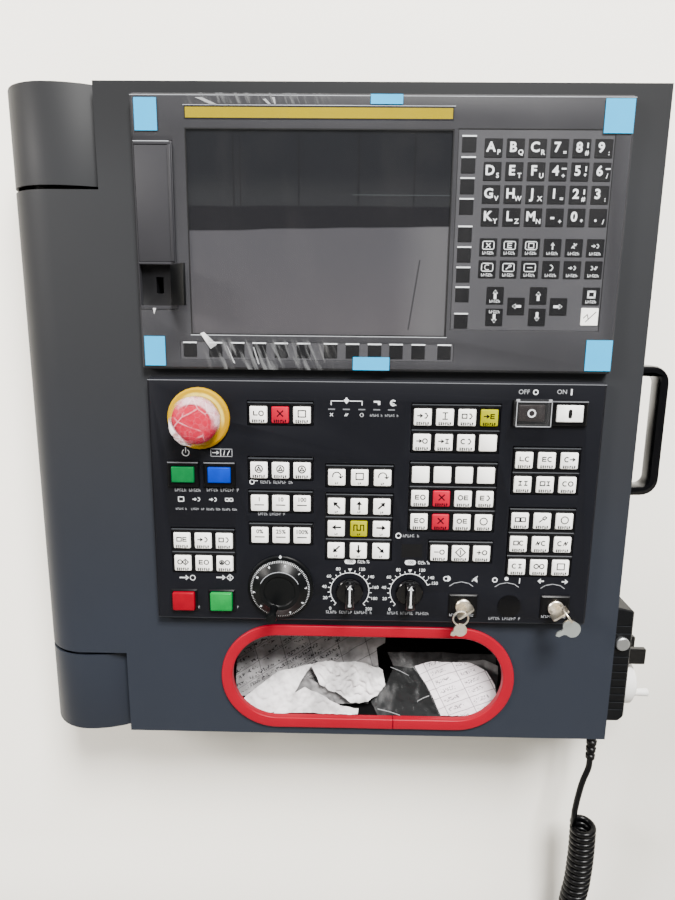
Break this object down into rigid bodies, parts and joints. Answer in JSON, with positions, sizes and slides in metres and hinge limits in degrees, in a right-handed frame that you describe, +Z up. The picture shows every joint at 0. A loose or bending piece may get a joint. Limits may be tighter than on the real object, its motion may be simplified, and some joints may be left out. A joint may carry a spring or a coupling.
{
  "type": "lathe operator panel",
  "caption": "Swing-out operator panel of a turning lathe: screen, keypads, push buttons, handwheel, document pocket, side handle and a hand pendant on a curly cord.",
  "frame": {"origin": "on the flat back of the hinge bracket, straight behind the hinge axis and level with the middle of the panel", "axes": "+X along the closed panel away from the hinge, +Y into the machine (the operator looks along +Y), +Z up"},
  "size_m": [0.6131, 0.1541, 1.0253],
  "materials": {
    "cover_paint": "fine textured slate grey paint",
    "steel": "plain zinc-plated steel",
    "bronze": "turned bronze",
    "bezel_plastic": "dark grey moulded plastic",
    "screen_glass": "dark screen, switched off",
    "key_black": "black satin",
    "key_white": "white satin caps with grey moulding",
    "clear_film": "clear glossy film with light blue pull tabs",
    "operator_navy": "navy-black satin",
    "yellow": "yellow gloss",
    "red": "red gloss",
    "green": "green gloss lens",
    "blue": "blue gloss lens",
    "lens_dark": "dark lens",
    "lens_white": "white lens",
    "clear_plastic": "clear moulded plastic",
    "nickel": "nickel plated",
    "trim_rubber": "red edge trim",
    "paper": "white paper in clear bags",
    "gloss_black": "glossy black",
    "pendant_plastic": "black moulded plastic",
    "cord_black": "black cord jacket"
  },
  "bodies": {
    "hinge_frame": {"hinge_bracket": "steel", "upper_hinge_cover": "cover_paint", "lower_hinge_cover": "cover_paint", "upper_hinge_pin": "steel", "lower_hinge_pin": "steel"},
    "panel": {"front_cover": "cover_paint", "panel_frame": "cover_paint", "rear_cover": "cover_paint", "pocket_bin": "cover_paint", "display_chassis": "steel", "operator_chassis": "steel", "upper_bush": "bronze", "lower_bush": "bronze", "display_bezel": "bezel_plastic", "port_block": "bezel_plastic", "display_glass": "screen_glass", "mdi_keypad": "key_black", "softkey_bar": "key_black", "handwheel_base": "key_black", "spindle_keys": "key_white", "feed_keys": "key_white", "jog_keys": "key_white", "mode_keys": "key_white", "auxiliary_keys": "key_white", "memory_keys": "key_white", "protective_film": "clear_film", "operator_plate": "operator_navy", "estop_collar": "yellow", "cord_connector": "nickel", "pocket_trim": "trim_rubber", "documents": "paper", "side_handle": "gloss_black", "pendant_hanger": "gloss_black", "pendant_body": "pendant_plastic", "pendant_gland": "cord_black", "cord_lead": "cord_black", "cord_coil": "cord_black"},
    "card_door": {"card_door": "bezel_plastic"},
    "usb_door": {"usb_door": "bezel_plastic"},
    "estop_plunger": {"estop_plunger": "lens_dark"},
    "estop_head": {"estop_head": "red"},
    "ready_button": {"ready_button": "green"},
    "release_button": {"release_button": "blue"},
    "cycle_stop_button": {"cycle_stop_button": "red"},
    "cycle_start_button": {"cycle_start_button": "green"},
    "off_button": {"off_button": "lens_dark"},
    "on_button": {"on_button": "lens_white"},
    "off_guard": {"off_guard": "clear_plastic"},
    "handwheel_dial": {"handwheel_dial": "key_black"},
    "handwheel_crank": {"handwheel_crank": "gloss_black"},
    "feed_knob": {"feed_knob": "gloss_black"},
    "spindle_knob": {"spindle_knob": "gloss_black"},
    "left_key": {"left_key": "nickel"},
    "right_key": {"right_key": "nickel"},
    "pendant_dial": {"pendant_dial": "nickel"},
    "pendant_crank": {"pendant_crank": "lens_white"},
    "pendant_axis_knob": {"pendant_axis_knob": "gloss_black"},
    "pendant_scale_knob": {"pendant_scale_knob": "gloss_black"},
    "pendant_enable_button": {"pendant_enable_button": "nickel"}
  },
  "joints": [
    {"name": "panel_swing", "type": "hinge", "parent": "hinge_frame", "child": "panel", "pos_m": [0, -0.067, 0], "axis": [0, 0, -1], "range_deg": [0, 90]},
    {"name": "card_door_hinge", "type": "hinge", "parent": "panel", "child": "card_door", "pos_m": [0.105, -0.1203, 0.197], "axis": [0, 0, 1], "range_deg": [0, 125]},
    {"name": "usb_door_hinge", "type": "hinge", "parent": "panel", "child": "usb_door", "pos_m": [0.105, -0.1203, 0.13275], "axis": [0, 0, 1], "range_deg": [-125, 0]},
    {"name": "estop_push", "type": "slide", "parent": "panel", "child": "estop_plunger", "axis": [0, 1, 0], "range_m": [0, 0.004]},
    {"name": "estop_twist", "type": "hinge", "parent": "estop_plunger", "child": "estop_head", "pos_m": [0.1215, -0.119, 0.0208], "axis": [0, 1, 0], "range_deg": [0, 30], "stiffness_Nm_per_rad": 0.05, "springref_deg": -5.73},
    {"name": "ready_press", "type": "slide", "parent": "panel", "child": "ready_button", "axis": [0, 1, 0], "range_m": [0, 0.003], "stiffness_N_per_m": 600, "springref_m": -0.002},
    {"name": "release_press", "type": "slide", "parent": "panel", "child": "release_button", "axis": [0, 1, 0], "range_m": [0, 0.003], "stiffness_N_per_m": 600, "springref_m": -0.002},
    {"name": "cycle_stop_press", "type": "slide", "parent": "panel", "child": "cycle_stop_button", "axis": [0, 1, 0], "range_m": [0, 0.003], "stiffness_N_per_m": 600, "springref_m": -0.002},
    {"name": "cycle_start_press", "type": "slide", "parent": "panel", "child": "cycle_start_button", "axis": [0, 1, 0], "range_m": [0, 0.003], "stiffness_N_per_m": 600, "springref_m": -0.002},
    {"name": "off_press", "type": "slide", "parent": "panel", "child": "off_button", "axis": [0, 1, 0], "range_m": [0, 0.003], "stiffness_N_per_m": 600, "springref_m": -0.002},
    {"name": "on_press", "type": "slide", "parent": "panel", "child": "on_button", "axis": [0, 1, 0], "range_m": [0, 0.003], "stiffness_N_per_m": 600, "springref_m": -0.002},
    {"name": "off_guard_hinge", "type": "hinge", "parent": "panel", "child": "off_guard", "pos_m": [0.4079, -0.1247, 0.04135], "axis": [-1, 0, 0], "range_deg": [0, 100]},
    {"name": "handwheel_turn", "type": "hinge", "parent": "panel", "child": "handwheel_dial", "pos_m": [0.1915, -0.119, -0.1345], "axis": [0, 1, 0], "continuous": true},
    {"name": "handwheel_crank_spin", "type": "hinge", "parent": "handwheel_dial", "child": "handwheel_crank", "pos_m": [0.1864, -0.119, -0.15019], "axis": [0, 1, 0], "continuous": true},
    {"name": "feed_override_turn", "type": "hinge", "parent": "panel", "child": "feed_knob", "pos_m": [0.2547, -0.119, -0.1378], "axis": [0, 1, 0], "range_deg": [-135, 135]},
    {"name": "spindle_override_turn", "type": "hinge", "parent": "panel", "child": "spindle_knob", "pos_m": [0.3093, -0.119, -0.1378], "axis": [0, 1, 0], "range_deg": [-135, 70]},
    {"name": "left_key_turn", "type": "hinge", "parent": "panel", "child": "left_key", "pos_m": [0.3585, -0.119, -0.1497], "axis": [0, -1, 0], "range_deg": [0, 60]},
    {"name": "right_key_turn", "type": "hinge", "parent": "panel", "child": "right_key", "pos_m": [0.4425, -0.119, -0.1497], "axis": [0, -1, 0], "range_deg": [0, 60]},
    {"name": "pendant_dial_turn", "type": "hinge", "parent": "panel", "child": "pendant_dial", "pos_m": [0.534, -0.052, -0.262], "axis": [1, 0, 0], "continuous": true},
    {"name": "pendant_crank_spin", "type": "hinge", "parent": "pendant_dial", "child": "pendant_crank", "pos_m": [0.5498, -0.052, -0.276], "axis": [1, 0, 0], "continuous": true},
    {"name": "pendant_axis_turn", "type": "hinge", "parent": "panel", "child": "pendant_axis_knob", "pos_m": [0.534, -0.065, -0.227], "axis": [1, 0, 0], "range_deg": [-60, 60]},
    {"name": "pendant_scale_turn", "type": "hinge", "parent": "panel", "child": "pendant_scale_knob", "pos_m": [0.534, -0.039, -0.227], "axis": [1, 0, 0], "range_deg": [-60, 60]},
    {"name": "pendant_enable_press", "type": "slide", "parent": "panel", "child": "pendant_enable_button", "axis": [0, 1, 0], "range_m": [0, 0.002], "stiffness_N_per_m": 500, "springref_m": -0.001}
  ]
}
